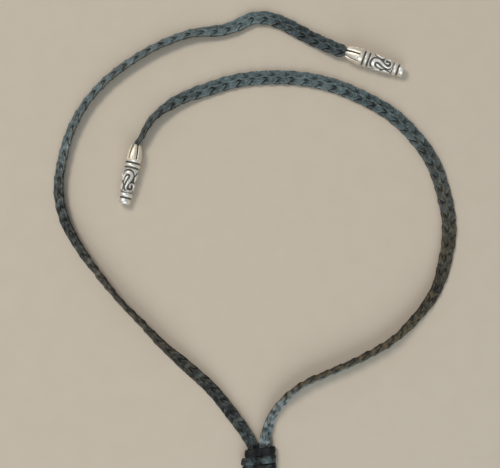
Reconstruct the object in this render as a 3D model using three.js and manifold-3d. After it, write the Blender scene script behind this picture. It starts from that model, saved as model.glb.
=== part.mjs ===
import * as THREE from 'three';
import { mergeVertices } from 'three/addons/utils/BufferGeometryUtils.js';
import Module from 'manifold-3d';

const wasm = await Module();
wasm.setup();

// Flat three-strand braid of cut leather lace
const laceWidth = 1.5;
const laceThick = 0.75;
const braidPeriod = 14.4;
const ringsPerPeriod = 12;
const sway = 1.745;
const swayThird = 0.261;
const rise = 0.944;
const riseFourth = 0.033;
const tiltThird = 0.194;
const meetGap = 0.3;

// Cast silver ends
const tipLength = 20.5;
const tipSides = 20;
const boreRadius = 1.5;
const boreDepth = 5.5;
const braidInside = 4.5;
const mouthTight = 0.55;
const collarAt = 7.45;
const collarRadius = 2.9;
const ringAt = 17.9;
const ringRadius = 2.3;
const capAt = 19.8;
const capRadius = 2.0;
const fieldStart = { u: 7.95, r: 2.3 };
const fieldEnd = { u: 16.55, r: 1.9 };
const petalCount = 6;
const slitLength = 4.6;
const slitMouthHalf = 0.34;
const slitEndHalf = 0.2;
const slitPoint = 0.3;
const slitFloor = 1.2;
const scrollCount = 3;
const scrollHeight = 0.46;

// One scroll on the unrolled field: a hook and its slant, then the curl they end in
const scrollHook = [
  { u: 12.6, round: 2.2, half: 0.24 },
  { u: 11.45, round: 2.05, half: 0.42 },
  { u: 10.35, round: 1.45, half: 0.54 },
  { u: 9.9, round: 0.45, half: 0.58 },
  { u: 10.3, round: -0.45, half: 0.57 },
  { u: 11.4, round: -0.72, half: 0.53 },
  { u: 12.8, round: -0.25, half: 0.48 },
  { u: 14.2, round: 0.32, half: 0.42 },
  { u: 15.4, round: 0.42, half: 0.34 },
];
const scrollCurl = [
  { u: 15.2, round: 0.45, half: 0.3 },
  { u: 16.0, round: -0.15, half: 0.28 },
  { u: 16.05, round: -1.25, half: 0.34 },
  { u: 15.5, round: -2.15, half: 0.34 },
  { u: 14.5, round: -2.4, half: 0.34 },
  { u: 13.65, round: -1.9, half: 0.33 },
  { u: 13.6, round: -1.1, half: 0.3 },
  { u: 14.2, round: -0.72, half: 0.3 },
  { u: 14.85, round: -0.85, half: 0.32 },
];

// Lace wound round both arms at the bottom of the loop
const wrapTop = 2.4;
const wrapPitch = 2.6;
const wrapTurns = 2.75;
const wrapWidth = 2.35;
const wrapThick = 0.9;
const wrapHalfHeight = 1.55;
const wrapHalfFirst = 4.3;
const wrapHalfLast = 5.0;
const wrapStart = 0.6;
const wrapStepsPerTurn = 20;
const armHalfGap = 1.9;
const armHeight = 2.0;

// Tight bend under the knot
const bendDrop = 8.2;
const bendRadius = 2.7;
const knotTight = 0.72;
const bendTight = 0.79;

// Where each end cap points, from its mouth, on the table plane
const outerMouth = new THREE.Vector2(28.0, 135.9);
const outerAim = new THREE.Vector2(0.9394, -0.3428);
const outerRoll = 0;
const outerSpin = 0.02;
const outerScroll = 0.32;
const innerMouth = new THREE.Vector2(-43.2, 103.7);
const innerAim = new THREE.Vector2(-0.1806, -0.9836);
const innerRoll = -45;
const innerSpin = 0.39;
const innerScroll = -0.6;

// The braid's way as it lies: roll 0 is flat, 90 on edge; lift is the height over the table
const leftArm = [
  { x: 26.7, y: 136.42, roll: 0, lift: 1.9, tight: 0.84 },
  { x: 25.0, y: 137.1, roll: 0, lift: 1.4, tight: 0.94 },
  { x: 15.3, y: 142.2, roll: 0, lift: 0.2, tight: 1 },
  { x: 5.7, y: 147.7, roll: -5, lift: 0, tight: 1 },
  { x: 0.3, y: 149.4, roll: -8, lift: 0.3, tight: 1 },
  { x: -4.8, y: 149.2, roll: -10, lift: 0.3, tight: 1 },
  { x: -9.7, y: 146.9, roll: -15, lift: 0, tight: 1 },
  { x: -14.9, y: 145.2, roll: -20, lift: 0, tight: 1 },
  { x: -25.8, y: 144.0, roll: -45, lift: 0, tight: 1 },
  { x: -36.1, y: 140.3, roll: -50, lift: 0, tight: 1 },
  { x: -45.7, y: 134.8, roll: -50, lift: 0, tight: 1 },
  { x: -54.3, y: 128.2, roll: -50, lift: 0, tight: 1 },
  { x: -61.5, y: 119.8, roll: -50, lift: 0, tight: 1 },
  { x: -66.4, y: 110.2, roll: -50, lift: 0, tight: 1 },
  { x: -69.1, y: 99.5, roll: -50, lift: 0, tight: 1 },
  { x: -69.9, y: 88.6, roll: -50, lift: 0, tight: 1 },
  { x: -67.2, y: 78.0, roll: -55, lift: 0, tight: 1 },
  { x: -61.7, y: 68.6, roll: -62, lift: 0, tight: 1 },
  { x: -54.9, y: 59.9, roll: -80, lift: 0, tight: 1 },
  { x: -47.8, y: 51.5, roll: -88, lift: 0, tight: 1 },
  { x: -39.9, y: 43.8, roll: -80, lift: 0, tight: 1 },
  { x: -32.1, y: 36.1, roll: -62, lift: 0, tight: 1 },
  { x: -23.7, y: 29.1, roll: -36, lift: 0, tight: 1 },
  { x: -15.4, y: 21.8, roll: -24, lift: 0, tight: 1 },
  { x: -8.2, y: 13.3, roll: -15, lift: 0.4, tight: 0.9 },
  { x: -3.9, y: 7.6, roll: -6, lift: 1.0, tight: 0.79 },
];
const rightArm = [
  { x: 2.7, y: 9.3, roll: -15, lift: 0.9, tight: 0.74 },
  { x: 5.6, y: 15.9, roll: -55, lift: 0.3, tight: 0.9 },
  { x: 13.1, y: 23.2, roll: -88, lift: 0, tight: 1 },
  { x: 23.0, y: 28.0, roll: -90, lift: 0, tight: 1 },
  { x: 33.0, y: 32.6, roll: -90, lift: 0, tight: 1 },
  { x: 42.5, y: 38.1, roll: -85, lift: 0, tight: 1 },
  { x: 50.4, y: 45.7, roll: -66, lift: 0, tight: 1 },
  { x: 56.8, y: 54.6, roll: -46, lift: 0, tight: 1 },
  { x: 60.2, y: 65.1, roll: -26, lift: 0, tight: 1 },
  { x: 61.6, y: 75.9, roll: -15, lift: 0, tight: 1 },
  { x: 60.1, y: 86.8, roll: -5, lift: 0, tight: 1 },
  { x: 56.8, y: 97.3, roll: 0, lift: 0, tight: 1 },
  { x: 50.9, y: 106.5, roll: 0, lift: 0, tight: 1 },
  { x: 43.2, y: 114.4, roll: 0, lift: 0, tight: 1 },
  { x: 33.9, y: 120.2, roll: 0, lift: 0, tight: 1 },
  { x: 23.9, y: 124.7, roll: 0, lift: 0, tight: 1 },
  { x: 13.2, y: 127.3, roll: 0, lift: 0, tight: 1 },
  { x: 2.3, y: 128.0, roll: 0, lift: 0, tight: 1 },
  { x: -8.7, y: 127.1, roll: 0, lift: 0, tight: 1 },
  { x: -19.2, y: 124.1, roll: -5, lift: 0, tight: 1 },
  { x: -29.5, y: 120.1, roll: -25, lift: 0, tight: 1 },
  { x: -38.1, y: 113.4, roll: -50, lift: 0, tight: 1 },
  { x: -41.6, y: 106.9, roll: -52, lift: 0.8, tight: 0.82 },
];

const tableUp = new THREE.Vector3(0, 0, 1);
const fullTurn = 2 * Math.PI;

// The corners of one lace across the braid, at a phase of the plait
function laceCorners(phase) {
  const across = sway * Math.sin(phase) + swayThird * Math.sin(3 * phase);
  const height = rise * Math.sin(2 * phase) + riseFourth * Math.sin(4 * phase);
  const tilt = tiltThird * Math.cos(3 * phase);
  const corners = [];
  for (const [u, v] of [[1, 1], [-1, 1], [-1, -1], [1, -1]]) {
    const p = new THREE.Vector2(u * laceWidth / 2, v * laceThick / 2);
    p.rotateAround(new THREE.Vector2(0, 0), tilt);
    corners.push(p.add(new THREE.Vector2(across, height)));
  }
  return corners;
}

// How far the braid reaches below its middle when it is rolled
function reachBelow(roll) {
  let reach = 0;
  for (let i = 0; i < ringsPerPeriod; i++) {
    for (const c of laceCorners(i * fullTurn / ringsPerPeriod)) {
      reach = Math.max(reach, -(c.x * Math.sin(roll) + c.y * Math.cos(roll)));
    }
  }
  return reach;
}

// Height of a tip's axis, resting on its collar and on its end ring
const tipSlope = (collarRadius - ringRadius) / (ringAt - collarAt);
function tipAxisHeight(along) {
  return collarRadius - tipSlope * (along - collarAt);
}

function insideTip(mouth, aim, along, roll) {
  const height = tipAxisHeight(along);
  const p = mouth.clone().addScaledVector(aim, along);
  return { x: p.x, y: p.y, roll, height, tight: mouthTight };
}

// Stretch through the knot and round the bend under it
const wrapEnd = wrapTop - wrapPitch * (wrapTurns - 1);
const bendMiddle = wrapEnd - bendDrop;
const bendSlant = bendRadius * Math.SQRT1_2;
function knotStretch(side) {
  return [
    { x: side * armHalfGap, y: wrapTop + 1.2, roll: 0, height: armHeight, tight: knotTight },
    { x: side * armHalfGap, y: wrapEnd - 1.0, roll: 0, height: armHeight, tight: knotTight },
    { x: side * (armHalfGap + 0.4), y: wrapEnd - 4.2, roll: -50, lift: 0, tight: 0.76 },
    { x: side * bendRadius, y: bendMiddle, roll: -90, lift: 0, tight: bendTight },
    { x: side * bendSlant, y: bendMiddle - bendSlant, roll: -90, lift: 0, tight: bendTight },
  ];
}
const bendBottom = { x: 0, y: bendMiddle - bendRadius, roll: -90, lift: 0, tight: bendTight };

const way = [
  insideTip(outerMouth, outerAim, braidInside, outerRoll),
  insideTip(outerMouth, outerAim, 0, outerRoll),
  ...leftArm,
  ...knotStretch(-1),
  bendBottom,
  ...knotStretch(1).reverse(),
  ...rightArm,
  insideTip(innerMouth, innerAim, 0, innerRoll),
  insideTip(innerMouth, innerAim, braidInside, innerRoll),
];
const wayPoints = way.map((row) => new THREE.Vector3(row.x, row.y, 0));
const wayCurve = new THREE.CatmullRomCurve3(wayPoints, false, 'centripetal');
const stepsPerRow = 40;
wayCurve.arcLengthDivisions = stepsPerRow * (way.length - 1);
const wayLength = wayCurve.getLength();
const bendLength = wayCurve.getLengths()[stepsPerRow * way.indexOf(bendBottom)];

function rowHeight(row) {
  return row.height ?? row.lift + row.tight * reachBelow(THREE.MathUtils.degToRad(row.roll));
}

// Place, roll and tightness of the braid at a length along its way
function wayAt(length) {
  const u = THREE.MathUtils.clamp(length / wayLength, 0, 1);
  const t = wayCurve.getUtoTmapping(u) * (way.length - 1);
  const i = Math.min(Math.floor(t), way.length - 2);
  const mix = THREE.MathUtils.smoothstep(t - i, 0, 1);
  const [a, b] = [way[i], way[i + 1]];
  const roll = THREE.MathUtils.degToRad(THREE.MathUtils.lerp(a.roll, b.roll, mix));
  const tight = THREE.MathUtils.lerp(a.tight, b.tight, mix);
  const spot = wayCurve.getPoint(t / (way.length - 1));
  const over = (row) => rowHeight(row) - row.tight * reachBelow(THREE.MathUtils.degToRad(row.roll));
  spot.z = THREE.MathUtils.lerp(over(a), over(b), mix) + tight * reachBelow(roll);
  return { spot, roll, tight };
}

function wayFrame(length) {
  const here = wayAt(length);
  const ahead = wayAt(length + 0.4).spot.sub(wayAt(length - 0.4).spot).normalize();
  const side = ahead.clone().cross(tableUp).normalize();
  const top = side.clone().cross(ahead);
  const across = side.clone().multiplyScalar(Math.cos(here.roll)).addScaledVector(top, Math.sin(here.roll));
  const face = top.clone().multiplyScalar(Math.cos(here.roll)).addScaledVector(side, -Math.sin(here.roll));
  return { spot: here.spot, tight: here.tight, across, face };
}

// A closed strip through rings of corners, with each twisted face folded inwards
function stripGeometry(rings) {
  const sides = rings[0].length;
  const position = [];
  const index = [];
  for (const ring of rings) {
    for (const p of ring) position.push(p.x, p.y, p.z);
  }
  for (let i = 0; i + 1 < rings.length; i++) {
    for (let k = 0; k < sides; k++) {
      const m = (k + 1) % sides;
      const a = i * sides + k;
      const b = i * sides + m;
      const [near, far] = [rings[i], rings[i + 1]];
      const middle = new THREE.Vector3();
      for (const p of [...near, ...far]) middle.addScaledVector(p, 0.5 / sides);
      const first = near[k].clone().lerp(far[m], 0.5).distanceTo(middle);
      const second = near[m].clone().lerp(far[k], 0.5).distanceTo(middle);
      if (first < second) index.push(a, a + sides, b + sides, a, b + sides, b);
      else index.push(a, a + sides, b, b, a + sides, b + sides);
    }
  }
  const last = (rings.length - 1) * sides;
  for (let k = 1; k + 1 < sides; k++) {
    index.push(0, k, k + 1);
    index.push(last, last + k + 1, last + k);
  }
  const geometry = new THREE.BufferGeometry();
  geometry.setAttribute('position', new THREE.Float32BufferAttribute(position, 3));
  geometry.setIndex(index);
  return geometry;
}

// One lace from the bend under the knot to a tip; a ring falls on every twelfth of the plait
function lace(toward, strand) {
  const step = braidPeriod / ringsPerPeriod;
  const room = (toward < 0 ? bendLength : wayLength - bendLength) - meetGap / 2;
  const rings = [];
  for (let i = 0; i * step <= room; i++) {
    const frame = wayFrame(bendLength + toward * (meetGap / 2 + i * step));
    const phase = fullTurn * (toward * i / ringsPerPeriod + strand / 3);
    rings.push(laceCorners(phase).map((c) => frame.spot.clone()
      .addScaledVector(frame.across, c.x * frame.tight)
      .addScaledVector(frame.face, c.y * frame.tight)));
  }
  return stripGeometry(toward < 0 ? rings.reverse() : rings);
}

// Flat lace wound in a stadium round both arms
function stadium(turn, halfWidth) {
  const straight = 2 * (halfWidth - wrapHalfHeight);
  const bow = Math.PI * wrapHalfHeight;
  let q = (turn - Math.floor(turn)) * 2 * (straight + bow);
  const flip = q >= straight + bow ? -1 : 1;
  if (flip < 0) q -= straight + bow;
  if (q < straight) {
    return { x: flip * (straight / 2 - q), z: flip * wrapHalfHeight, nx: 0, nz: flip };
  }
  const a = (q - straight) / wrapHalfHeight;
  const nx = -Math.sin(a);
  const nz = Math.cos(a);
  return {
    x: flip * (-straight / 2 + wrapHalfHeight * nx),
    z: flip * wrapHalfHeight * nz,
    nx: flip * nx,
    nz: flip * nz,
  };
}

function wrapLace() {
  const rings = [];
  const steps = Math.round(wrapTurns * wrapStepsPerTurn);
  for (let i = 0; i <= steps; i++) {
    const turn = wrapTurns * i / steps;
    const grown = THREE.MathUtils.smoothstep(turn, 0.75, 1.25);
    const at = stadium(turn + wrapStart, THREE.MathUtils.lerp(wrapHalfFirst, wrapHalfLast, grown));
    const y = wrapTop + wrapPitch * (0.5 - turn);
    const ring = [];
    for (const [w, h] of [[1, 1], [-1, 1], [-1, -1], [1, -1]]) {
      const out = h * wrapThick / 2;
      ring.push(new THREE.Vector3(at.x + at.nx * out, y + w * wrapWidth / 2, armHeight + at.z + at.nz * out));
    }
    rings.push(ring);
  }
  return stripGeometry(rings);
}

function toSolid(geometry) {
  let g = geometry.index ? geometry.clone() : geometry;
  g.deleteAttribute('normal');
  g.deleteAttribute('uv');
  g = mergeVertices(g, 1e-4);
  const mesh = new wasm.Mesh({
    numProp: 3,
    vertProperties: new Float32Array(g.attributes.position.array),
    triVerts: new Uint32Array(g.index.array),
  });
  mesh.merge();
  return new wasm.Manifold(mesh);
}

function fromSolid(solid) {
  const mesh = solid.getMesh();
  const geometry = new THREE.BufferGeometry();
  geometry.setAttribute('position', new THREE.Float32BufferAttribute(mesh.vertProperties, 3));
  geometry.setIndex(Array.from(mesh.triVerts));
  return geometry;
}

// Outline of a tip from the floor of its bore, over the mouth, to the flat end
const tipProfile = [
  { r: 0, u: boreDepth },
  { r: boreRadius, u: boreDepth },
  { r: boreRadius, u: 0.35 },
  { r: 1.62, u: 0 },
  { r: 1.78, u: 0 },
  { r: 2.4, u: 1.8 },
  { r: 2.7, u: 3.4 },
  { r: 2.86, u: 4.7 },
  { r: 2.72, u: 5.7 },
  { r: 2.42, u: 6.2 },
  { r: 2.42, u: 6.55 },
  { r: collarRadius, u: 6.95 },
  { r: collarRadius, u: collarAt },
  fieldStart,
  fieldEnd,
  { r: ringRadius, u: 17.1 },
  { r: ringRadius, u: ringAt },
  { r: 1.86, u: 18.3 },
  { r: 1.8, u: 18.7 },
  { r: capRadius, u: 19.1 },
  { r: capRadius, u: capAt },
  { r: 1.55, u: tipLength },
  { r: 0, u: tipLength },
];

function fieldRadius(u) {
  return THREE.MathUtils.mapLinear(u, fieldStart.u, fieldEnd.u, fieldStart.r, fieldEnd.r);
}
const fieldMiddle = (fieldStart.r + fieldEnd.r) / 2;

function onField(row, turn, out) {
  const angle = turn + row.round / fieldMiddle;
  const r = fieldRadius(row.u) + out;
  return new THREE.Vector3(r * Math.sin(angle), row.u, r * Math.cos(angle));
}

// A raised ribbon along rows of the unrolled field
function scrollRibbon(rows, turn) {
  const spine = rows.map((row) => onField(row, turn, 0.04));
  const curve = new THREE.CatmullRomCurve3(spine);
  const steps = 2 * (rows.length - 1);
  const rings = [];
  for (let k = 0; k <= steps; k++) {
    const spot = curve.getPoint(k / steps);
    const ahead = curve.getTangent(k / steps);
    const out = new THREE.Vector3(spot.x, 0, spot.z).normalize();
    const side = ahead.clone().cross(out).normalize();
    const half = (rows[Math.floor(k / 2)].half + rows[Math.ceil(k / 2)].half) / 2;
    const ring = [];
    for (let m = 0; m < 5; m++) {
      const a = fullTurn * (m + 0.25) / 5;
      ring.push(spot.clone()
        .addScaledVector(side, half * Math.cos(a))
        .addScaledVector(out, scrollHeight * Math.sin(a)));
    }
    rings.push(ring);
  }
  return toSolid(stripGeometry(rings));
}

function tipSolid(scrollTurn) {
  const profile = tipProfile.map((p) => new THREE.Vector2(p.r, p.u));
  let solid = toSolid(new THREE.LatheGeometry(profile, tipSides));
  for (let i = 0; i < petalCount; i++) {
    const slit = new THREE.Shape();
    slit.moveTo(-slitMouthHalf, -0.5);
    slit.lineTo(slitMouthHalf, -0.5);
    slit.lineTo(slitEndHalf, slitLength - slitPoint);
    slit.lineTo(0, slitLength);
    slit.lineTo(-slitEndHalf, slitLength - slitPoint);
    const cut = new THREE.ExtrudeGeometry(slit, { depth: 2.2, bevelEnabled: false });
    cut.translate(0, 0, slitFloor);
    cut.rotateY(fullTurn * i / petalCount);
    solid = solid.subtract(toSolid(cut));
  }
  for (let i = 0; i < scrollCount; i++) {
    const turn = scrollTurn + fullTurn * i / scrollCount;
    solid = solid.add(scrollRibbon(scrollHook, turn));
    solid = solid.add(scrollRibbon(scrollCurl, turn));
  }
  return fromSolid(solid.asOriginal().simplify(0.02));
}

function placeTip(geometry, mouth, aim, spin) {
  const start = new THREE.Vector3(mouth.x, mouth.y, tipAxisHeight(0));
  const axis = new THREE.Vector3(aim.x, aim.y, -tipSlope).normalize();
  const flat = axis.clone().cross(tableUp).normalize();
  const top = flat.clone().cross(axis);
  const turn = new THREE.Matrix4().makeBasis(flat, axis, top);
  return geometry.clone().rotateY(spin).applyMatrix4(turn).translate(start.x, start.y, start.z);
}

const leather = { color: 0x2a2f31, roughness: 0.7, metalness: 0 };
const silver = { color: 0xc8c5be, roughness: 0.3, metalness: 1 };
const group = new THREE.Group();

function add(name, geometry, look) {
  const mesh = new THREE.Mesh(geometry, new THREE.MeshStandardMaterial(look));
  mesh.name = name;
  group.add(mesh);
}

for (let strand = 0; strand < 3; strand++) {
  add(`left_lace_${strand + 1}`, lace(-1, strand), leather);
  add(`right_lace_${strand + 1}`, lace(1, strand), leather);
}
add('knot_wrap', wrapLace(), leather);
add('outer_tip', placeTip(tipSolid(outerScroll), outerMouth, outerAim, outerSpin), silver);
add('inner_tip', placeTip(tipSolid(innerScroll), innerMouth, innerAim, innerSpin), silver);

// The origin is the middle of the necklace on the table
const box = new THREE.Box3().setFromObject(group);
const middle = box.getCenter(new THREE.Vector3());
for (const mesh of group.children) mesh.geometry.translate(-middle.x, -middle.y, -box.min.z);

export default group;
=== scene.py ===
import math
import bmesh
import bpy
import numpy as np
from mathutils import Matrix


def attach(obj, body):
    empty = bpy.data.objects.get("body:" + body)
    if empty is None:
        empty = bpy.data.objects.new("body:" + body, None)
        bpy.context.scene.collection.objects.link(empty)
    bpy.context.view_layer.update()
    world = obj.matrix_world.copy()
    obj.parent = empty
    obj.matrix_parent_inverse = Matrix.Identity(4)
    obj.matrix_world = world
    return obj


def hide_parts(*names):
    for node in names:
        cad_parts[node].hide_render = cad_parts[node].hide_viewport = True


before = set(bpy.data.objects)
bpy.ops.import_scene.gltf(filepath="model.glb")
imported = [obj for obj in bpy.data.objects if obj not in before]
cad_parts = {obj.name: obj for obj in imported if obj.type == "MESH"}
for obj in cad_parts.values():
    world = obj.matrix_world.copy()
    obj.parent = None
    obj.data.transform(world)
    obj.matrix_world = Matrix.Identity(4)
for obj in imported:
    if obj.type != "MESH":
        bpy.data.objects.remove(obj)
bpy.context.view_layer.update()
print("frame loaded:", len(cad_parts), "solids")

millimetre = 0.001
fullTurn = 2 * math.pi
floorGap = 0.005  # mm that every skin keeps over the table

# the camera stands over the loop, a little to the right and towards the knot
photoView = {
    "place": (0.03099, -0.05346, 0.32844),
    "turnDegrees": (10.093, 5.231, 0.930),
    "lens": 72,
    "sensor": 36,
    "nearest": 0.01,
    "farthest": 20,
}
cameraData = bpy.data.cameras.new("photoCamera")
cameraData.sensor_fit = "HORIZONTAL"
cameraData.sensor_width = photoView["sensor"]
cameraData.lens = photoView["lens"]
cameraData.clip_start = photoView["nearest"]
cameraData.clip_end = photoView["farthest"]
camera = bpy.data.objects.new("photoCamera", cameraData)
camera.location = photoView["place"]
camera.rotation_euler = [math.radians(a) for a in photoView["turnDegrees"]]
bpy.context.scene.collection.objects.link(camera)
bpy.context.scene.camera = camera
print("camera set")


def smoothStep(low, high, value):
    t = np.clip((np.asarray(value, float) - low) / (high - low), 0, 1)
    return t * t * (3 - 2 * t)


def mixed(a, b, amount):
    return a + (b - a) * amount


# each wave's length is drawn within these shares of the given one
waveSpread = (0.9, 1.1)


def slowWander(at, waves, seed):
    # smooth uneven run along a lace, about -1 to 1
    draw = np.random.default_rng(seed)
    run = np.zeros_like(at)
    for length in waves:
        run += np.sin(fullTurn * (at / (length * draw.uniform(*waveSpread)) + draw.random()))
    return run / len(waves)


# brings the sum of three lumps back to about the size of one
fuzzShare = 1.7


def leatherFuzz(amount, seed, rings, sides):
    # small lumps on a lace, softened along it and round it
    lumps = np.random.default_rng(seed).normal(0, amount, (rings, sides))
    return (lumps + np.roll(lumps, 1, axis=0) + np.roll(lumps, 1, axis=1)) / fuzzShare


def ringMesh(name, rings, marks):
    # closed skin through rings of points over the table, with one number per point for each mark
    count, sides = rings.shape[:2]
    rings[..., 2] = np.maximum(rings[..., 2], floorGap)
    points = rings.reshape(-1, 3)
    a = np.arange(count - 1)[:, None] * sides + np.arange(sides)
    b = np.arange(count - 1)[:, None] * sides + (np.arange(sides) + 1) % sides
    quads = np.stack([a, b, b + sides, a + sides], axis=-1).reshape(-1, 4)
    faces = [tuple(q) for q in quads.tolist()]
    values = {key: np.broadcast_to(mark, (count, sides)).reshape(-1) for key, mark in marks.items()}
    for ring, first, way in ((rings[0], 0, 1), (rings[-1], (count - 1) * sides, -1)):
        middle = len(points)
        points = np.vstack([points, ring.mean(axis=0)])
        for key in values:
            values[key] = np.append(values[key], values[key][first:first + sides].mean())
        for k in range(sides):
            pair = (first + (k + 1) % sides, first + k)
            faces.append((middle, *pair) if way > 0 else (middle, *pair[::-1]))
    mesh = bpy.data.meshes.new(name)
    mesh.from_pydata((points * millimetre).tolist(), [], faces)
    skin = bmesh.new()
    skin.from_mesh(mesh)
    bmesh.ops.recalc_face_normals(skin, faces=skin.faces)
    skin.to_mesh(mesh)
    skin.free()
    for key, value in values.items():
        layer = mesh.attributes.new(key, "FLOAT", "POINT")
        layer.data.foreach_set("value", value.astype(np.float32))
    mesh.polygons.foreach_set("use_smooth", np.ones(len(mesh.polygons), dtype=bool))
    piece = bpy.data.objects.new(name, mesh)
    bpy.context.scene.collection.objects.link(piece)
    return piece


stripShape = {"cornerPoints": 4, "faceParts": 5, "underCrown": 0.3}


def roundedStrip(width, thick, corner, crown):
    # outline of a cut lace: flat faces, eased corners, a slightly crowned top
    outline = []
    lastPoint = stripShape["cornerPoints"] - 1
    for turn, (sx, sy) in enumerate([(1, 1), (-1, 1), (-1, -1), (1, -1)]):
        for k in range(stripShape["cornerPoints"]):
            a = math.pi / 2 * (turn + k / lastPoint)
            outline.append((sx * (width / 2 - corner) + corner * math.cos(a),
                            sy * (thick / 2 - corner) + corner * math.sin(a)))
        if turn in (0, 2):
            for k in range(1, stripShape["faceParts"]):
                x = mixed(width / 2 - corner, corner - width / 2, k / stripShape["faceParts"])
                outline.append((x if turn == 0 else -x, sy * thick / 2))
        else:
            outline.append((sx * width / 2, 0))
    shape = np.array(outline)
    crownShare = np.where(shape[:, 1] > 0, 1, stripShape["underCrown"])
    shape[:, 1] += crown * (1 - (2 * shape[:, 0] / width) ** 2) * crownShare
    return shape


# the way the braid lies, in millimetres, from the outer end round the loop to the inner end
wayMiddle = (-4.0761, 68.8573)
tipRest = {"collarAt": 7.45, "collarRadius": 2.9, "ringAt": 17.9, "ringRadius": 2.3}
tipBraid = {"inside": 4.5, "mouthTight": 0.60}
outerEnd = {
    "mouth": (28.0, 135.9), "aim": (0.9394, -0.3428), "roll": 0,
    "spin": 0.02, "scrollTurn": 0.32, "warm": 0.35,
}
innerEnd = {
    "mouth": (-43.2, 103.7), "aim": (-0.1806, -0.9836), "roll": -45,
    "spin": 0.39, "scrollTurn": -0.6, "warm": 1.0,
}
tipSlope = (tipRest["collarRadius"] - tipRest["ringRadius"]) / (tipRest["ringAt"] - tipRest["collarAt"])

# roll in degrees, 0 flat and -90 on edge; lift over the table; tightness of the plait
armColumns = ("x", "y", "roll", "lift", "tight")
leftArm = [
    (26.7, 136.42, 0, 1.9, 0.88), (25.0, 137.1, 0, 1.4, 0.97), (15.3, 142.2, 0, 0.2, 1),
    (5.7, 147.7, -5, 0, 1), (0.3, 149.4, -8, 0.3, 1), (-4.8, 149.2, -10, 0.3, 1),
    (-9.7, 146.9, -15, 0, 1), (-14.9, 145.2, -20, 0, 1), (-25.8, 144.0, -38, 0, 1),
    (-36.1, 140.3, -43, 0, 1), (-45.7, 134.8, -43, 0, 1), (-54.3, 128.2, -43, 0, 1),
    (-61.5, 119.8, -44, 0, 1), (-66.4, 110.2, -42, 0, 1), (-69.1, 99.5, -39, 0, 1),
    (-69.9, 88.6, -38, 0, 1), (-67.2, 78.0, -43, 0, 1), (-61.7, 68.6, -53, 0, 1),
    (-54.9, 59.9, -64, 0, 1), (-47.8, 51.5, -74, 0, 1), (-39.9, 43.8, -70, 0, 1),
    (-32.1, 36.1, -58, 0, 1), (-23.7, 29.1, -38, 0, 0.97), (-15.4, 21.8, -28, 0, 0.93),
    (-8.2, 13.3, -15, 0.4, 0.87), (-3.9, 7.6, -6, 1.0, 0.79),
]
rightArm = [
    (2.7, 9.3, -36, 0.9, 0.74), (5.6, 15.9, -66, 0.3, 0.9), (13.1, 23.2, -80, 0, 1),
    (23.0, 28.0, -80, 0, 1), (33.0, 32.6, -78, 0, 1), (42.5, 38.1, -74, 0, 1),
    (50.4, 45.7, -60, 0, 1), (56.8, 54.6, -46, 0, 1), (60.2, 65.1, -26, 0, 1),
    (61.6, 75.9, -15, 0, 1), (60.1, 86.8, -5, 0, 1), (56.8, 97.3, 0, 0, 1),
    (50.9, 106.5, 0, 0, 1), (43.2, 114.4, 0, 0, 1), (33.9, 120.2, 0, 0, 1),
    (23.9, 124.7, 0, 0, 1), (13.2, 127.3, 0, 0, 1), (2.3, 128.0, 0, 0, 1),
    (-8.7, 127.1, 0, 0, 1), (-19.2, 124.1, -5, 0, 1), (-29.5, 120.1, -25, 0, 1),
    (-38.1, 113.4, -50, 0, 1), (-41.6, 106.9, -52, 0.8, 0.82),
]
# the bound foot of the loop and the bend under it
knot = {
    "top": 2.4, "pitch": 2.6, "turns": 2.75, "width": 2.35, "thick": 0.9,
    "halfHeight": 1.55, "halfFirst": 4.3, "halfLast": 5.0,
    "armGap": 1.9, "armHeight": 2.0, "armTight": 0.72, "armAbove": 1.2, "armBelow": 1.0,
    "spread": 0.4, "spreadDrop": 4.2, "spreadRoll": -50, "spreadTight": 0.76,
    "bendDrop": 8.2, "bendRadius": 2.7, "bendShoulder": 0.71, "bendRoll": -90, "bendTight": 0.79,
}
knotEnd = knot["top"] - knot["pitch"] * (knot["turns"] - 1)
bendMiddle = knotEnd - knot["bendDrop"]
bendRest = {"roll": knot["bendRoll"], "lift": 0, "tight": knot["bendTight"]}


def tipAxisHeight(along):
    return tipRest["collarRadius"] - tipSlope * (along - tipRest["collarAt"])


def tipRow(end, along):
    x = end["mouth"][0] + end["aim"][0] * along
    y = end["mouth"][1] + end["aim"][1] * along
    return {"x": x, "y": y, "roll": end["roll"], "height": tipAxisHeight(along),
            "tight": tipBraid["mouthTight"]}


def knotRows(side):
    gap, bow = knot["armGap"], knot["bendRadius"]
    shoulder = bow * knot["bendShoulder"]
    inKnot = {"roll": 0, "height": knot["armHeight"], "tight": knot["armTight"]}
    return [
        {"x": side * gap, "y": knot["top"] + knot["armAbove"], **inKnot},
        {"x": side * gap, "y": knotEnd - knot["armBelow"], **inKnot},
        {"x": side * (gap + knot["spread"]), "y": knotEnd - knot["spreadDrop"],
         "roll": knot["spreadRoll"], "lift": 0, "tight": knot["spreadTight"]},
        {"x": side * bow, "y": bendMiddle, **bendRest},
        {"x": side * shoulder, "y": bendMiddle - shoulder, **bendRest},
    ]


wayRows = [tipRow(outerEnd, tipBraid["inside"]), tipRow(outerEnd, 0)]
wayRows += [dict(zip(armColumns, row)) for row in leftArm]
wayRows += knotRows(-1)
bendRow = len(wayRows)
wayRows.append({"x": 0, "y": bendMiddle - knot["bendRadius"], **bendRest})
wayRows += knotRows(1)[::-1]
wayRows += [dict(zip(armColumns, row)) for row in rightArm]
wayRows += [tipRow(innerEnd, 0), tipRow(innerEnd, tipBraid["inside"])]


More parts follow.
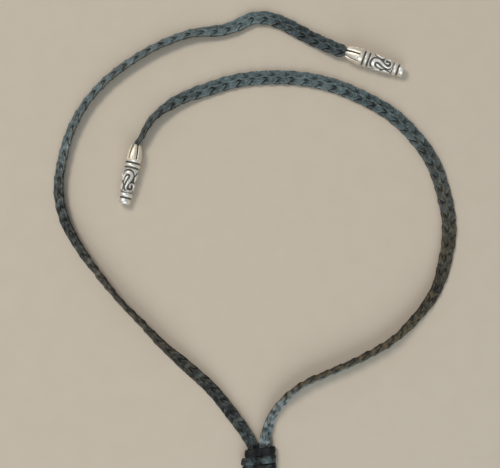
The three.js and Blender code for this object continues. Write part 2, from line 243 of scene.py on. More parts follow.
def curveThrough(points):
    # centripetal curve through the points, one cubic for each stretch
    ends = np.vstack([2 * points[0] - points[1], points, 2 * points[-1] - points[-2]])
    cubics = []
    for p0, p1, p2, p3 in zip(ends, ends[1:], ends[2:], ends[3:]):
        d0, d1, d2 = [math.sqrt(np.linalg.norm(b - a)) for a, b in ((p0, p1), (p1, p2), (p2, p3))]
        t1 = ((p1 - p0) / d0 - (p2 - p0) / (d0 + d1) + (p2 - p1) / d1) * d1
        t2 = ((p2 - p1) / d1 - (p3 - p1) / (d1 + d2) + (p3 - p2) / d2) * d1
        cubics.append((p1, t1, -3 * p1 + 3 * p2 - 2 * t1 - t2, 2 * p1 - 2 * p2 + t1 + t2))
    return np.array(cubics)


def onCubic(cubic, t):
    return cubic[0] + t * (cubic[1] + t * (cubic[2] + t * cubic[3]))


wayPoints = np.array([(row["x"] - wayMiddle[0], row["y"] - wayMiddle[1]) for row in wayRows])
wayCubics = curveThrough(wayPoints)
wayParts = 40  # steps in each stretch, to measure the length
aheadStep = 0.4  # looked ahead and back for the braid's direction
upward = (0, 0, 1)


def planAt(t):
    i = np.minimum(t.astype(int), len(wayCubics) - 1)
    return onCubic(np.moveaxis(wayCubics[i], 1, 0), (t - i)[:, None])


wayT = np.linspace(0, len(wayCubics), wayParts * len(wayCubics) + 1)
wayDistance = np.append(0, np.cumsum(np.linalg.norm(np.diff(planAt(wayT), axis=0), axis=1)))
wayLength = wayDistance[-1]
bendLength = wayDistance[wayParts * bendRow]

# cut laces in a flat plait, in millimetres
plait = {
    "strands": 3, "period": 14.4, "width": 2.66, "thick": 0.80, "corner": 0.14, "crown": 0.08,
    "sway": 1.30, "swayThird": 0.28, "riseThird": 0.22, "ringStep": 0.3,
    # rise, tilt and pressed thickness of the laces for each roll of the braid
    "roll": (-90, -80, -70, -50, -25, 0),
    "rise": (0.44, 0.26, 0.24, 0.28, 0.36, 0.42),
    "tilt": (0.06, 0.14, 0.18, 0.24, 0.25, 0.25),
    "press": (1.25, 1.3, 1.15, 0.9, 0.87, 0.92),
    # hand-made unevenness, in waves of so many mm
    "drift": 0.25, "driftWaves": (37, 61, 95), "driftSeed": 5,
    "uneven": 0.06, "unevenWaves": (5.3, 11, 23), "unevenSeed": 11,
    "lean": 0.09, "leanWaves": (9, 17), "leanSeed": 21,
    "fuzz": 0.011, "fuzzSeed": 51,
    # where a mark starts and where it is full: edge and rim in half widths of a lace, flesh in mm,
    # wear with painted crevice shade in half sizes of the braid
    "edgeSpan": (0.90, 0.98), "rimSpan": (0.66, 0.88), "fleshSpan": (0.1, -0.25),
    "wearAndShadeSpan": (0.30, 0.98), "halfWidth": 2.34, "halfThick": 0.90, "asideStep": 3,
    # stretches of colour, raw edge, painted light and painted shade: mm along the braid, reach and amount
    # paler stretches: partly faded tone, partly painted sky reflection and painted highlights
    "fadeAndPaintedLightAt": [(88, 56, 1.7), (45, 14, 1.5), (124, 16, 2.1), (297, 13, 2.6),
                (470, 70, 0.85), (385, 24, 0.35)],
    # darker stretches: partly darker tone, partly painted shade where the left arm goes into the knot
    "darkAndShadeAt": [(22, 13, 0.85), (149, 17, 0.85), (200, 24, 0.85), (230, 16, 0.7),
               (254, 14, 0.75), (362, 10, 0.4), (437, 9, 0.35)],
    # teal stretches: partly the leather's own teal, partly painted bluish sky reflection
    "tealAndSkyAt": [(40, 62, 1.2), (105, 28, 0.9), (150, 22, 0.35), (252, 10, 0.7),
               (295, 14, 1.2), (468, 62, 1.25)],
    "rawAt": [(340, 36, 1.2), (378, 26, 0.65), (192, 26, 0.8)],
    # painted glints of sky reflection, strongest on the right arm just above the knot
    "glintAt": [(297, 14, 4.0), (160, 45, 1.8), (240, 32, 1.6), (350, 32, 1.6)],
    "glintWaves": (2.3, 3.7, 5.9), "glintSeed": 31,
    # painted highlight on one face of the braid where it stands on edge
    "litFlankAt": [(318, 28, 1.0)], "flankSlope": 0.2, "flankSpan": (0.5, 0.9), "litFlankLight": 1.5,
}
laceOutline = roundedStrip(plait["width"], plait["thick"], plait["corner"], plait["crown"])
laceSides = len(laceOutline)


def laceSection(phase, roll, swell=1.0, lean=0.0, fuzz=0.0):
    # one lace's outline across the braid, for each phase of the plait and roll of the braid
    phase = np.asarray(phase, float)[:, None]
    rise, tilt, press = [np.interp(np.degrees(roll), plait["roll"], plait[key]).reshape(-1, 1)
                         for key in ("rise", "tilt", "press")]
    tilt = tilt * np.cos(3 * phase) + np.reshape(lean, (-1, 1))
    puff = 1 + fuzz / np.hypot(laceOutline[:, 0], laceOutline[:, 1])
    wide = laceOutline[:, 0] * np.reshape(swell, (-1, 1)) * puff
    tall = laceOutline[:, 1] * puff * press
    x = plait["sway"] * np.sin(phase) + plait["swayThird"] * np.sin(3 * phase)
    y = rise * (np.sin(2 * phase) + plait["riseThird"] * np.sin(6 * phase))
    return x + wide * np.cos(tilt) - tall * np.sin(tilt), y + wide * np.sin(tilt) + tall * np.cos(tilt)


# how far the braid reaches below its middle, for each degree of roll
rollTable = np.radians(np.linspace(-100, 10, 111))
plaitPhases = np.linspace(0, fullTurn, 24, endpoint=False)
reachTable = []
for roll in rollTable:
    sectionX, sectionY = laceSection(plaitPhases, roll)
    reachTable.append((-(sectionX * math.sin(roll) + sectionY * math.cos(roll))).max())


def reachBelow(roll):
    return np.interp(roll, rollTable, reachTable)


rowRoll = np.radians([row["roll"] for row in wayRows])
rowTight = np.array([row["tight"] for row in wayRows])
rowOver = np.array([row["lift"] if "lift" in row else row["height"] - row["tight"] * reachBelow(roll)
                    for row, roll in zip(wayRows, rowRoll)])


def wayAt(length):
    t = np.interp(length, wayDistance, wayT)
    i = np.minimum(t.astype(int), len(wayRows) - 2)
    blend = smoothStep(0, 1, t - i)
    roll, tight, over = [mixed(row[i], row[i + 1], blend) for row in (rowRoll, rowTight, rowOver)]
    height = over + tight * reachBelow(roll)
    return np.column_stack([planAt(t), height]), roll, tight


def unit(v):
    return v / np.linalg.norm(v, axis=-1, keepdims=True)


def wayFrame(length):
    spot, roll, tight = wayAt(length)
    ahead = unit(wayAt(length + aheadStep)[0] - wayAt(length - aheadStep)[0])
    side = unit(np.cross(ahead, upward))
    top = np.cross(side, ahead)
    c, s = np.cos(roll)[:, None], np.sin(roll)[:, None]
    return spot, roll, tight, side * c + top * s, top * c - side * s


def patchesAlong(length, patches):
    # soft stretches along the braid, the strongest one at each place
    total = np.zeros_like(length)
    for middle, reach, amount in patches:
        total = np.maximum(total, amount * np.exp(-((length - middle) / reach) ** 2))
    return total


ringAt = np.linspace(0, wayLength, int(wayLength / plait["ringStep"]))
spot, ringRoll, tight, across, face = wayFrame(ringAt)
drift = plait["drift"] * slowWander(ringAt, plait["driftWaves"], plait["driftSeed"])
fadeAndPaintedLightRun, darkAndShadeRun, tealAndSkyRun, rawRun, glintRun, litFlankRun = [
    patchesAlong(ringAt, plait[key])
    for key in ("fadeAndPaintedLightAt", "darkAndShadeAt", "tealAndSkyAt", "rawAt", "glintAt", "litFlankAt")]
sideShare = np.abs(laceOutline[:, 0]) / (plait["width"] / 2)
flesh = smoothStep(*plait["fleshSpan"], laceOutline[:, 1])
laces = []
for strand in range(plait["strands"]):
    phase = fullTurn * ((ringAt - bendLength) / plait["period"] + strand / plait["strands"]) + drift
    swell = 1 + plait["uneven"] * slowWander(ringAt, plait["unevenWaves"], plait["unevenSeed"] + strand)
    lean = plait["lean"] * slowWander(ringAt, plait["leanWaves"], plait["leanSeed"] + strand)
    fuzz = leatherFuzz(plait["fuzz"], plait["fuzzSeed"] + strand, len(ringAt), laceSides)
    x, y = laceSection(phase, ringRoll, swell, lean, fuzz)
    scale = tight[:, None]
    rings = spot[:, None] + across[:, None] * (x * scale)[..., None] + face[:, None] * (y * scale)[..., None]
    # painted highlight on one face of each lace where the braid stands on edge
    litFlank = litFlankRun[:, None] * smoothStep(*plait["flankSpan"], y + plait["flankSlope"] * x)
    # painted glints along the laces
    glints = glintRun * slowWander(ringAt, plait["glintWaves"], plait["glintSeed"] + strand)
    marks = {
        "along": ringAt[:, None],
        "aside": laceOutline[:, 0] + plait["asideStep"] * strand,
        "cutEdge": smoothStep(*plait["edgeSpan"], sideShare),
        "flesh": flesh,
        # lace edges lighter, partly worn finish and partly a painted edge highlight
        "rim": smoothStep(*plait["rimSpan"], sideShare) * (1 - flesh),
        # high points lighter from wear; the low middle of the plait darker as painted crevice shade
        "wearAndPaintedLight": smoothStep(*plait["wearAndShadeSpan"], np.hypot(x / plait["halfWidth"], y / plait["halfThick"])),
        # paler with fading and with painted sky reflection, glints and the painted lit face; darker with
        # painted shade by the knot
        "fadeAndPaintedLight": (fadeAndPaintedLightRun - darkAndShadeRun + glints)[:, None] + plait["litFlankLight"] * litFlank,
        # teal partly the leather's own, partly painted sky tint and the painted lit face
        "tealAndSky": np.maximum(tealAndSkyRun[:, None], litFlank),
        "raw": rawRun[:, None] * (1 - litFlank),
    }
    piece = ringMesh(f"braid_lace_{strand + 1}", rings, marks)
    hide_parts(f"left_lace_{strand + 1}", f"right_lace_{strand + 1}")
    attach(piece, "root")
    laces.append(piece)
print("braid laid:", round(wayLength, 1), "mm of", len(laces), "laces")


# the lace wound round both arms; its first turn is painted dark as shade, and after it the lace runs wider
# and paler
wrapLook = {
    "corner": 0.3, "crown": 0.18, "rings": 420, "startTurn": 0.6, "growSpan": (0.75, 1.25),
    "wide": 1.14, "firstShift": 0.45, "dip": 0.7, "dipHalf": 1.2, "dipShade": 0.9,
    # unevenness, in waves of so many mm of lace
    "waveTurn": 24, "waver": 0.14, "waverWaves": (7, 13), "waverSeed": 31,
    "lump": 0.18, "lumpWaves": (5, 9), "lumpSeed": 37,
    "lean": 0.22, "leanWaves": (8, 15), "leanSeed": 41,
    "stray": 0.16, "strayWaves": (6, 11), "straySeed": 43,
    "fuzz": 0.03, "fuzzSeed": 61,
    # marks, as on the braid
    "grainTurn": 23, "edgeSpan": (0.86, 0.98), "fleshSpan": (0.1, -0.25),
    "crestSpan": (0.1, 0.5), "crestSide": (0.9, -0.5),
}
wrapOutline = roundedStrip(knot["width"], knot["thick"], wrapLook["corner"], wrapLook["crown"])
wrapSides = len(wrapOutline)
wrapTurn = np.linspace(0, knot["turns"], wrapLook["rings"])


def stadium(turn, halfWidth):
    # place and outward way on the flat oval round both arms
    tall = knot["halfHeight"]
    straight = 2 * (halfWidth - tall)
    bow = math.pi * tall
    q = (turn % 1) * 2 * (straight + bow)
    flip = np.where(q >= straight + bow, -1, 1)
    q = np.where(flip < 0, q - straight - bow, q)
    a = np.clip((q - straight) / tall, 0, math.pi)
    flat = q < straight
    nx = np.where(flat, 0, -np.sin(a)) * flip
    nz = np.where(flat, 1, np.cos(a)) * flip
    x = np.where(flat, flip * (straight / 2 - q), -flip * straight / 2 + tall * nx)
    return x, tall * nz, nx, nz


def wrapWander(key):
    run = slowWander(wrapTurn * wrapLook["waveTurn"], wrapLook[key + "Waves"], wrapLook[key + "Seed"])
    return wrapLook[key] * run


grown = smoothStep(*wrapLook["growSpan"], wrapTurn)
wrapHalf = mixed(knot["halfFirst"], knot["halfLast"], grown)
wrapX, wrapZ, outX, outZ = stadium(wrapTurn + wrapLook["startTurn"], wrapHalf)
wrapY = knot["top"] + knot["pitch"] * (0.5 - wrapTurn) + wrapWander("stray")
fuzz = leatherFuzz(wrapLook["fuzz"], wrapLook["fuzzSeed"], len(wrapTurn), wrapSides)
lump = (wrapWander("lump") * grown)[:, None]
lean = wrapWander("lean")[:, None]
wide = wrapOutline[:, 0] * wrapLook["wide"] * (1 + wrapWander("waver")[:, None])
tall = wrapOutline[:, 1] + fuzz + lump * (wrapOutline[:, 1] > 0)
w = wide * np.cos(lean) - tall * np.sin(lean)
h = wide * np.sin(lean) + tall * np.cos(lean)
dip = np.exp(-(wrapX / wrapLook["dipHalf"]) ** 2) * (wrapZ > 0)
wrapRings = np.stack([
    (wrapX + wrapLook["firstShift"] * (1 - grown))[:, None] + outX[:, None] * h - wayMiddle[0],
    wrapY[:, None] + w - wayMiddle[1],
    knot["armHeight"] + (wrapZ - wrapLook["dip"] * dip)[:, None] + outZ[:, None] * h,
], axis=-1)
sideShare = wrapOutline[:, 0] / (knot["width"] / 2)
# the crest of the lace's top face, towards one side, carries a painted highlight
crest = smoothStep(*wrapLook["crestSpan"], wrapOutline[:, 1]) * smoothStep(*wrapLook["crestSide"], sideShare)
wrapMarks = {
    "along": wrapTurn[:, None] * wrapLook["grainTurn"],
    "aside": wrapOutline[:, 0],
    "cutEdge": smoothStep(*wrapLook["edgeSpan"], np.abs(sideShare)),
    "flesh": smoothStep(*wrapLook["fleshSpan"], wrapOutline[:, 1]),
    "rim": 0.0,
    # lighter along the crest as a painted highlight, darker in the dip between the arms as painted shade
    "wearAndPaintedLight": crest * (1 - wrapLook["dipShade"] * dip)[:, None],
    # the first turn is kept near black as painted shade; the later turns rise to the paler, bluer leather
    # tone
    "fadeAndPaintedLight": grown[:, None],
    "tealAndSky": grown[:, None],
    "raw": 0.0,
}
wrap = ringMesh("knot_wrap_lace", wrapRings, wrapMarks)
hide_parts("knot_wrap")
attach(wrap, "root")
print("knot wrapped:", knot["turns"], "turns")


# the cast ends: petals at the mouth, a collar, a field of scrolls, a ring and a plain end, in millimetres
tip = {
    "length": 20.5, "rows": 360, "sides": 216,
    "outlineParts": 4100, "soften": 0.07, "softenParts": 60, "grooveFade": 0.2,
    "bore": 1.5, "lip": [(0, 5.5), (0, 0.4), (0.12, 0.06)], "lipDark": 0.9,
    "petals": 6, "petalBulge": 0.16, "petalLevel": 0.7, "petalSpan": (6.1, 5.0), "warmSpan": (6.2, 5.2),
    "scallop": 0.5, "scallopSpan": (2.6, 0), "scallopCrown": 1.2,
    "slitLength": 4.9, "slitMouth": 0.29, "slitEnd": 0.20, "slitDepth": 0.7,
    "slitSoft": (0.10, -0.06), "slitFade": (0.4, -0.3),
    "dimpleAt": 4.35, "dimple": 0.30, "dimpleSoft": (0.12, -0.2), "dimpleDepth": 0.10, "dimpleDark": 0.5,
    "scrolls": 3, "scrollParts": 6, "fieldMiddle": 2.1, "fieldAt": 12.4, "fieldOver": 0.2,
    "fieldStart": (8.25, 8.6), "fieldStop": (16.55, 16.2), "relief": 0.52, "ground": 0.75,
    "ribbonSoft": (0.06, -0.20), "groove": 0.50, "fillerSoft": (-0.04, 0.18), "filler": 0.66,
    "uneven": 0.018, "unevenWaves": [(2.1, 3, 0), (3.7, -5, 1.3), (1.3, 2, 4)], "unevenSpan": (20.4, 19.6),
}
# u along the end from its mouth, and the radius there
tipOutline = [
    (0.0, 1.72), (0.5, 1.98), (1.8, 2.42), (3.4, 2.71), (4.7, 2.86), (5.5, 2.78), (5.95, 2.62), (6.15, 2.40),
    (6.6, 2.38), (6.8, 2.72), (7.0, 2.88), (7.4, 2.88), (7.65, 2.70), (7.85, 2.32), (8.2, 2.27),
    (16.5, 1.89), (16.85, 1.92), (17.0, 2.16), (17.2, 2.28), (17.8, 2.28), (18.05, 2.10), (18.2, 1.84),
    (18.75, 1.80), (18.95, 1.92), (19.15, 1.98), (19.8, 1.98), (20.1, 1.90), (20.4, 1.72), (20.5, 1.56),
]
tipGrooves = [(5.98, 6.78), (7.70, 8.45), (16.42, 16.95), (18.1, 18.92)]
# one scroll: u, distance round, half the ribbon's width; an open hook, a slant and a closed curl
scrollLine = np.array([
    (12.6, 2.20, 0.22), (11.45, 2.05, 0.42), (10.35, 1.45, 0.56), (9.9, 0.45, 0.62), (10.3, -0.45, 0.60),
    (11.4, -0.72, 0.55), (12.8, -0.25, 0.50), (14.2, 0.32, 0.44), (15.4, 0.42, 0.34), (16.05, -0.25, 0.28),
    (16.05, -1.25, 0.35), (15.5, -2.15, 0.35), (14.5, -2.40, 0.35), (13.65, -1.90, 0.34), (13.6, -1.10, 0.31),
    (14.2, -0.72, 0.30), (14.85, -0.85, 0.36),
])


def scrollSpine():
    t = np.linspace(0, 1, tip["scrollParts"] + 1)[:-1, None]
    stretches = [onCubic(cubic, t) for cubic in curveThrough(scrollLine)]
    return np.vstack(stretches + [scrollLine[-1:]])


def scrollRelief(u, angle):
    # 1 on the ribbons, a little less on the fillers, 0 in the cut lines between them
    spine = scrollSpine()
    radius = np.interp(tip["fieldAt"], *zip(*tipOutline)) + tip["fieldOver"]
    nearest = np.full(u.shape, np.inf)
    for k in range(tip["scrolls"]):
        turned = (angle - fullTurn * k / tip["scrolls"] + math.pi) % fullTurn - math.pi
        for shift in (-fullTurn, 0, fullTurn):
            for along, sideways, half in spine:
                a = (turned + shift - sideways / tip["fieldMiddle"]) * radius
                nearest = np.minimum(nearest, np.hypot(u - along, a) - half)
    ribbon = smoothStep(*tip["ribbonSoft"], nearest)
    filler = smoothStep(*tip["fillerSoft"], nearest - tip["groove"])
    return np.maximum(ribbon, tip["filler"] * filler)


def tipSkin(scrollTurn):
    # outside of one end as a radius over length and angle, with its lip and bore before it
    u = np.linspace(0, tip["length"], tip["rows"])
    angle = np.linspace(0, fullTurn, tip["sides"], endpoint=False)
    fine = np.linspace(0, tip["length"], tip["outlineParts"] + 1)
    outline = np.interp(fine, *zip(*tipOutline))
    reach = tip["softenParts"]
    kernel = np.exp(-0.5 * (np.arange(-reach, reach + 1) * fine[1] / tip["soften"]) ** 2)
    outline = np.convolve(np.pad(outline, reach, mode="edge"), kernel / kernel.sum(), mode="valid")
    along, turned = np.meshgrid(u, angle, indexing="ij")
    radius = np.interp(along, fine, outline)
    dark = np.zeros_like(along)
    fade = tip["grooveFade"]
    for low, high in tipGrooves:
        dark = np.maximum(dark, smoothStep(low, low + fade, along) * smoothStep(high, high - fade, along))
    # petals: each one crowned, dimpled at its root, with a slit on either side
    petalArc = fullTurn / tip["petals"]
    fromSlit = np.abs((turned / petalArc + 0.5) % 1 - 0.5) * petalArc
    arc = fromSlit * radius
    crown = np.sin(np.clip(fromSlit / petalArc * 2, 0, 1) * math.pi / 2)
    bulge = tip["petalBulge"] * (crown - tip["petalLevel"])
    radius = radius + smoothStep(*tip["petalSpan"], along) * bulge
    slitHalf = mixed(tip["slitMouth"], tip["slitEnd"], np.clip(along / tip["slitLength"], 0, 1))
    slit = smoothStep(*tip["slitSoft"], arc - slitHalf)
    slit = slit * smoothStep(*tip["slitFade"], along - tip["slitLength"])
    fromDimple = np.hypot(along - tip["dimpleAt"], (petalArc / 2 - fromSlit) * radius)
    dimple = smoothStep(*tip["dimpleSoft"], fromDimple - tip["dimple"])
    radius = radius - tip["slitDepth"] * slit - tip["dimpleDepth"] * dimple
    dark = np.maximum(np.maximum(dark, slit), tip["dimpleDark"] * dimple)
    # scroll field
    inField = smoothStep(*tip["fieldStart"], along) * smoothStep(*tip["fieldStop"], along)
    relief = scrollRelief(along, turned - scrollTurn)
    radius = radius + inField * tip["relief"] * relief
    dark = np.maximum(dark, inField * tip["ground"] * (1 - relief))
    # a hand-finished surface is never quite true
    waves = [np.sin(along * ups + rounds * turned + start) for ups, rounds, start in tip["unevenWaves"]]
    radius = radius + tip["uneven"] * sum(waves) / len(waves) * smoothStep(*tip["unevenSpan"], along)
    # rounded petal ends at the mouth
    fromCrown = 1 - np.clip(crown * tip["scallopCrown"], 0, 1)
    along = along + smoothStep(*tip["scallopSpan"], along) * tip["scallop"] * fromCrown
    lip = tip["lip"]
    radius = np.vstack([[np.full(tip["sides"], tip["bore"] + over) for over, depth in lip], radius])
    along = np.vstack([[along[0] + depth for over, depth in lip], along])
    dark = np.vstack([np.full((len(lip), tip["sides"]), tip["lipDark"]), dark])
    turned = np.vstack([turned[:len(lip)], turned])
    return along, turned, radius, dark, smoothStep(*tip["warmSpan"], along)


def placeTip(name, node, end):
    along, turned, radius, dark, warm = tipSkin(end["scrollTurn"])
    axis = unit(np.array([end["aim"][0], end["aim"][1], -tipSlope]))
    flat = unit(np.cross(axis, upward))
    top = np.cross(flat, axis)
    start = np.array([end["mouth"][0] - wayMiddle[0], end["mouth"][1] - wayMiddle[1], tipAxisHeight(0)])
    a = (turned + end["spin"])[..., None]
    rings = start + axis * along[..., None] + (flat * np.sin(a) + top * np.cos(a)) * radius[..., None]
    piece = ringMesh(name, rings, {"tarnish": dark, "warm": warm * end["warm"]})
    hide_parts(node)
    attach(piece, "root")
    return piece


ends = [placeTip("outer_end_cap", "outer_tip", outerEnd), placeTip("inner_end_cap", "inner_tip", innerEnd)]
print("ends cast:", len(ends))

nodeGrid = {"across": 220, "down": 260, "inColumn": 4}


class Shader:
    # places and joins nodes in one tree
    def __init__(self, tree):
        self.tree = tree
        self.count = 0

    def node(self, kind, inputs=None, **settings):
        made = self.tree.nodes.new(kind)
        column, row = divmod(self.count, nodeGrid["inColumn"])
        made.location = (nodeGrid["across"] * column, -nodeGrid["down"] * row)
        self.count += 1
        for key, value in settings.items():
            setattr(made, key, value)
        for key, value in (inputs or {}).items():
            self.join(value, made.inputs[key])
        return made

    def join(self, value, socket):
        if isinstance(value, bpy.types.NodeSocket):
            self.tree.links.new(value, socket)
        else:
            socket.default_value = value

    def group(self, tree, inputs):
        return self.node("ShaderNodeGroup", inputs, node_tree=tree).outputs

    def mark(self, name):
        return self.node("ShaderNodeAttribute", attribute_name=name).outputs["Fac"]

    def objectPlace(self):
        return self.node("ShaderNodeTexCoord").outputs["Object"]

    def math(self, operation, a, b, clamp=False):
        return self.node("ShaderNodeMath", {0: a, 1: b}, operation=operation, use_clamp=clamp).outputs[0]

    def sum(self, start, *shares):
        # start plus each value times its share
        total = start
        for value, share in shares:
            total = self.math("ADD", total, self.math("MULTIPLY", value, share))
        return total

    def span(self, value, low, high, outLow=0.0, outHigh=1.0):
        limits = {"From Min": low, "From Max": high, "To Min": outLow, "To Max": outHigh}
        return self.node("ShaderNodeMapRange", {"Value": value, **limits}).outputs["Result"]

    def blend(self, a, b, amount):
        # a colour mix keeps its colours in sockets 6 and 7
        return self.node("ShaderNodeMix", {0: amount, 6: a, 7: b}, data_type="RGBA").outputs[2]

    def noise(self, vector, scale, detail, rough):
        inputs = {"Vector": vector, "Scale": scale, "Detail": detail, "Roughness": rough}
        return self.node("ShaderNodeTexNoise", inputs).outputs["Fac"]

    def bump(self, height, strength, distance):
        inputs = {"Height": height, "Strength": strength, "Distance": distance}
        return self.node("ShaderNodeBump", inputs).outputs["Normal"]


def nodeGroup(name, inputs, outputs):
    group = bpy.data.node_groups.new(name, "ShaderNodeTree")
    for way, labels in (("INPUT", inputs), ("OUTPUT", outputs)):
        for label in labels:
            kind = "NodeSocketVector" if label == "Place" else "NodeSocketFloat"
            group.interface.new_socket(name=label, in_out=way, socket_type=kind)
    shader = Shader(group)
    source = shader.node("NodeGroupInput").outputs
    sink = shader.node("NodeGroupOutput").inputs
    return group, shader, source, sink


# noises are scale, detail and roughness
grainLook = {
    "mottle": (300.0, 4.0, 0.6), "mottleSpan": (0.33, 0.67),
    "speck": (1150.0, 2.0, 0.65), "speckSpan": (0.30, 0.70),
    "fibreStretch": 0.11, "fibreDetail": 3.0, "fibreRough": 0.65, "fibreSpan": (0.36, 0.66),
    "thread": (11.0, 2.0, 0.6), "pitSpan": (0.0, 0.22),
    "pitHeight": 0.5, "threadHeight": 0.2, "fibreHeight": 0.3, "speckHeight": 0.6,
    "patchDetail": 3.0, "patchRough": 0.6, "patchSpan": (0.30, 0.66),
}


def grainGroup():
    # leather: slow mottling, fine specks, pores and fibres that run with the lace
    group, shader, source, sink = nodeGroup(
        "leatherGrain", ("Place", "Along", "Aside", "Pore Scale", "Fibre Scale"),
        ("Mottle", "Speck", "Fibre", "Height"))
    mottle = shader.noise(source["Place"], *grainLook["mottle"])
    speck = shader.noise(source["Place"], *grainLook["speck"])
    stretched = shader.math("MULTIPLY", source["Along"], grainLook["fibreStretch"])
    run = shader.node("ShaderNodeCombineXYZ", {"X": stretched, "Y": source["Aside"]}).outputs[0]
    fibre = shader.noise(run, source["Fibre Scale"], grainLook["fibreDetail"], grainLook["fibreRough"])
    thread = shader.noise(run, *grainLook["thread"])
    pores = shader.node("ShaderNodeTexVoronoi", {"Vector": source["Place"], "Scale": source["Pore Scale"]},
                        feature="DISTANCE_TO_EDGE").outputs["Distance"]
    pits = shader.span(pores, *grainLook["pitSpan"])
    height = shader.sum(0.0, (pits, grainLook["pitHeight"]), (thread, grainLook["threadHeight"]),
                        (fibre, grainLook["fibreHeight"]), (speck, grainLook["speckHeight"]))
    shader.join(shader.span(mottle, *grainLook["mottleSpan"]), sink["Mottle"])
    shader.join(shader.span(speck, *grainLook["speckSpan"]), sink["Speck"])
    shader.join(shader.span(fibre, *grainLook["fibreSpan"]), sink["Fibre"])
    shader.join(height, sink["Height"])
    return group


def rubGroup():
    # breaks a wear mark up into patches
    group, shader, source, sink = nodeGroup("rubbedPatches", ("Place", "Mark", "Patch Scale"), ("Mask",))
    patches = shader.noise(source["Place"], source["Patch Scale"],
                           grainLook["patchDetail"], grainLook["patchRough"])
    patches = shader.span(patches, *grainLook["patchSpan"])
    shader.join(shader.math("MULTIPLY", source["Mark"], patches, clamp=True), sink["Mask"])
    return group


leatherGrain = grainGroup()
rubbedPatches = rubGroup()


def newMaterial(name):
    material = bpy.data.materials.new(name)
    material.use_nodes = True
    shader = Shader(material.node_tree)
    surface = material.node_tree.nodes["Principled BSDF"].inputs
    return material, shader, surface


# light is a sum of marks and grain times their shares, painted shade and painted highlights among them; the
# spans say which light gives which colour
braidLook = {
    # the darkest tone is reached in painted crevice and edge shade; the teal tones are partly painted sky
    # tint; the palest blue-white is a painted sky reflection
    "deep": (0.007, 0.008, 0.008, 1), "dye": (0.043, 0.047, 0.042, 1), "tealAndSkyDye": (0.053, 0.070, 0.071, 1),
    "rubbed": (0.150, 0.165, 0.155, 1), "tealAndSkyRubbed": (0.180, 0.240, 0.248, 1),
    "skyGlint": (0.36, 0.43, 0.47, 1), "flesh": (0.050, 0.046, 0.038, 1),
    "bareDark": (0.020, 0.016, 0.012, 1), "bare": (0.138, 0.100, 0.046, 1),
    "start": -0.53, "wearAndPaintedLight": 0.34, "rim": 0.30, "mottle": 0.42, "speck": 0.52, "fibre": 0.32, "fadeAndPaintedLight": 0.28,
    "edgeShade": -0.50, "edge": 0.55, "raw": 1.45,
    "dyeSpan": (0.0, 0.5), "rubSpan": (0.45, 1.25), "skyGlintSpan": (1.1, 1.9), "bareSpan": (0.0, 0.8),
    "fleshShow": (0.2, 0.6), "poreScale": 2600.0, "fibreScale": 3.3, "patchScale": 700.0,
    "rough": 0.42, "roughMottle": 0.12, "roughSpeck": 0.08, "bump": 0.6, "bumpDepth": 0.00012,
    "specular": 0.28, "sheen": 0.06, "sheenRough": 0.4, "sheenTint": (0.70, 0.88, 1.0, 1),
}
# the wrap's near-black deepest and dye tones are painted shade for its first turn; the later turns are lifted
# to the paler leather tone
wrapLookWithPaintedLight = {
    **braidLook,
    "deep": (0.005, 0.005, 0.005, 1), "dye": (0.016, 0.017, 0.016, 1),
    "start": -1.45, "fadeAndPaintedLight": 0.62, "mottle": 0.9, "edge": 0.2, "sheen": 0.03, "bump": 0.35,
}


def leatherMaterial(name, look):
    material, shader, surface = newMaterial(name)
    place = shader.objectPlace()
    grain = shader.group(leatherGrain, {
        "Place": place, "Along": shader.mark("along"), "Aside": shader.mark("aside"),
        "Pore Scale": look["poreScale"], "Fibre Scale": look["fibreScale"]})
    cutEdge = shader.mark("cutEdge")
    tealAndSky = shader.span(shader.mark("tealAndSky"), 0.0, 1.0)
    # the edge share darkens the cut edges as painted shade between the laces
    light = shader.sum(look["start"], (shader.mark("wearAndPaintedLight"), look["wearAndPaintedLight"]), (shader.mark("rim"), look["rim"]),
                       (grain["Mottle"], look["mottle"]), (grain["Speck"], look["speck"]),
                       (grain["Fibre"], look["fibre"]), (shader.mark("fadeAndPaintedLight"), look["fadeAndPaintedLight"]),
                       (cutEdge, look["edgeShade"]))
    # teal tones: partly the leather's own teal, partly painted sky tint
    dye = shader.blend(look["dye"], look["tealAndSkyDye"], tealAndSky)
    rubbed = shader.blend(look["rubbed"], look["tealAndSkyRubbed"], tealAndSky)
    tone = shader.blend(look["deep"], dye, shader.span(light, *look["dyeSpan"]))
    tone = shader.blend(tone, rubbed, shader.span(light, *look["rubSpan"]))
    # palest blue-white: painted sky reflection where the light sum runs highest
    tone = shader.blend(tone, look["skyGlint"], shader.span(light, *look["skyGlintSpan"]))
    fleshShow = shader.span(grain["Fibre"], 0.0, 1.0, *look["fleshShow"])
    tone = shader.blend(tone, look["flesh"], shader.math("MULTIPLY", shader.mark("flesh"), fleshShow))
    bare = shader.sum(0.0, (cutEdge, look["edge"]), (shader.mark("raw"), look["raw"]))
    bareMask = shader.group(rubbedPatches, {
        "Place": place, "Mark": bare, "Patch Scale": look["patchScale"]})["Mask"]
    bareTone = shader.blend(look["bareDark"], look["bare"], shader.span(light, *look["bareSpan"]))
    shader.join(shader.blend(tone, bareTone, bareMask), surface["Base Color"])
    rough = shader.sum(look["rough"], (grain["Mottle"], look["roughMottle"]),
                       (grain["Speck"], look["roughSpeck"]))
    shader.join(rough, surface["Roughness"])
    shader.join(shader.bump(grain["Height"], look["bump"], look["bumpDepth"]), surface["Normal"])
    surface["Specular IOR Level"].default_value = look["specular"]
    surface["Sheen Weight"].default_value = look["sheen"]
    surface["Sheen Roughness"].default_value = look["sheenRough"]
    surface["Sheen Tint"].default_value = look["sheenTint"]
    return material


braidLeather = leatherMaterial("charcoal_lace_leather", braidLook)
wrapLeather = leatherMaterial("wrap_leather_and_painted_light", wrapLookWithPaintedLight)
for piece in laces:
    piece.data.materials.append(braidLeather)
wrap.data.materials.append(wrapLeather)

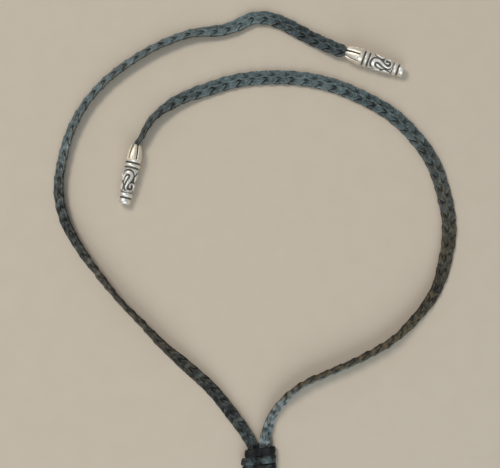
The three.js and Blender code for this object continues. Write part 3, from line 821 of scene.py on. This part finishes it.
silverLook = {
    "bright": (0.89, 0.87, 0.83, 1), "cream": (0.93, 0.80, 0.60, 1), "black": (0.105, 0.092, 0.077, 1),
    "creamStart": 0.45, "warm": 0.9, "patchScale": 420.0,
    "grime": (2000.0, 3.0, 0.6), "grimeSpan": (0.3, 0.75), "grimeShade": (-0.10, 0.12),
    # from bright metal to black
    "darkSpan": (0.22, 0.75), "metal": (0.85, 0.5), "rough": (0.42, 0.62), "warmRough": 0.08,
    "grimeRoughSpan": (0.3, 0.7), "grimeRough": (-0.5, 1.0), "grimeRoughShare": 0.08,
    "bump": 0.2, "bumpDepth": 0.00005,
}


def silverMaterial(name, look):
    material, shader, surface = newMaterial(name)
    place = shader.objectPlace()
    warm = shader.mark("warm")
    # cream tone laid in patches over the metal, strongest on the petals
    creamMark = shader.sum(look["creamStart"], (warm, look["warm"]))
    creamPatches = shader.group(rubbedPatches, {
        "Place": place, "Mark": creamMark, "Patch Scale": look["patchScale"]})["Mask"]
    grime = shader.noise(place, *look["grime"])
    grimeShade = shader.span(grime, *look["grimeSpan"], *look["grimeShade"])
    dark = shader.math("ADD", shader.mark("tarnish"), grimeShade, clamp=True)
    dark = shader.span(dark, *look["darkSpan"])
    metal = shader.blend(look["bright"], look["cream"], creamPatches)
    shader.join(shader.blend(metal, look["black"], dark), surface["Base Color"])
    shader.join(shader.span(dark, 0.0, 1.0, *look["metal"]), surface["Metallic"])
    grimeRough = shader.span(grime, *look["grimeRoughSpan"], *look["grimeRough"])
    rough = shader.sum(shader.span(dark, 0.0, 1.0, *look["rough"]),
                       (grimeRough, look["grimeRoughShare"]), (warm, look["warmRough"]))
    shader.join(rough, surface["Roughness"])
    shader.join(shader.bump(grime, look["bump"], look["bumpDepth"]), surface["Normal"])
    return material


castSilver = silverMaterial("blackened_cast_silver", silverLook)
for piece in ends:
    piece.data.materials.append(castSilver)
print("finishes set")

table = {
    "half": 12.0, "tone": (0.585, 0.495, 0.39, 1), "toneLight": (0.62, 0.53, 0.42, 1),
    "speckle": (140.0, 3.0, 0.5), "rough": 0.8,
}
tableMesh = bpy.data.meshes.new("table_top")
corners = [(-1, -1), (1, -1), (1, 1), (-1, 1)]
tableMesh.from_pydata([(x * table["half"], y * table["half"], 0) for x, y in corners], [], [(0, 1, 2, 3)])
tableTop = bpy.data.objects.new("table_top", tableMesh)
bpy.context.scene.collection.objects.link(tableTop)
tableMaterial, shader, surface = newMaterial("pale_table")
speckle = shader.noise(shader.objectPlace(), *table["speckle"])
shader.join(shader.blend(table["tone"], table["toneLight"], speckle), surface["Base Color"])
surface["Roughness"].default_value = table["rough"]
tableMesh.materials.append(tableMaterial)

studio = {
    "sky": (0.84, 0.92, 1.0, 1), "skyStrength": 0.38,
    "keyFrom": (-0.42, 0.48, 1.05), "keySize": 0.5, "keyPower": 6.0, "keyTone": (1.0, 0.95, 0.88),
    "fillFrom": (0.10, -0.95, 0.65), "fillSize": 0.9, "fillPower": 6.0, "fillTone": (0.84, 0.94, 1.0),
}
bpy.context.scene.view_settings.view_transform = "Standard"
world = bpy.data.worlds.new("softSky")
bpy.context.scene.world = world
world.use_nodes = True
sky = world.node_tree.nodes["Background"].inputs
sky["Color"].default_value = studio["sky"]
sky["Strength"].default_value = studio["skyStrength"]


def softLamp(name):
    lampData = bpy.data.lights.new(name + "Lamp", "AREA")
    lampData.shape = "DISK"
    lampData.size = studio[name + "Size"]
    lampData.energy = studio[name + "Power"]
    lampData.color = studio[name + "Tone"]
    lamp = bpy.data.objects.new(name + "Lamp", lampData)
    lamp.location = studio[name + "From"]
    lamp.rotation_euler = (-lamp.location).to_track_quat("-Z", "Y").to_euler()
    bpy.context.scene.collection.objects.link(lamp)


softLamp("key")
softLamp("fill")
print("table and lamps set")
